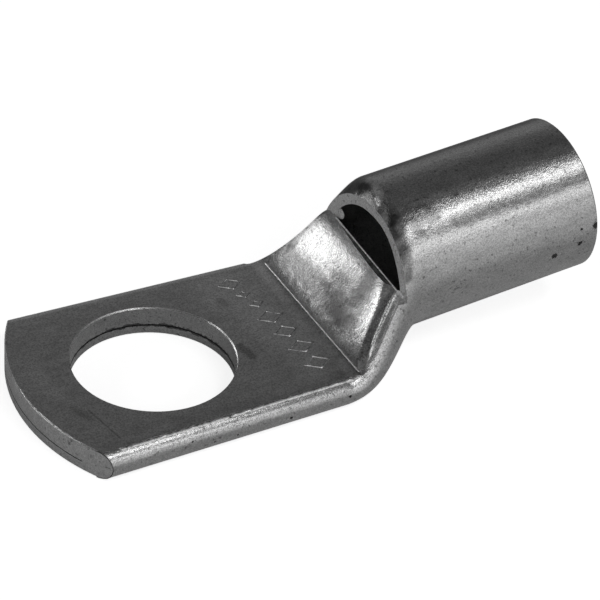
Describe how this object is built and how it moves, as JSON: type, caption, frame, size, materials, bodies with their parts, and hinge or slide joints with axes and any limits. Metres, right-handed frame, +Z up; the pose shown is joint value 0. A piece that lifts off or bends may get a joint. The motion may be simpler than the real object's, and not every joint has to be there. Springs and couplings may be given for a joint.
{
  "type": "terminal lug",
  "caption": "Tube lug: a tinned copper tube with one end pressed flat and punched for a stud, the other end left round to take a cable.",
  "frame": {"origin": "centre of the stud hole, on the underside of the palm", "axes": "+Z up out of the palm's top face, along the stud; +X from the stud hole toward the cable end; +Y across the palm"},
  "size_m": [0.0627, 0.0254, 0.0194],
  "materials": {
    "tinned_copper": "dull electro-tinned copper, slightly mottled, with small pits"
  },
  "bodies": {
    "root": {"lug": "tinned_copper"}
  },
  "joints": []
}
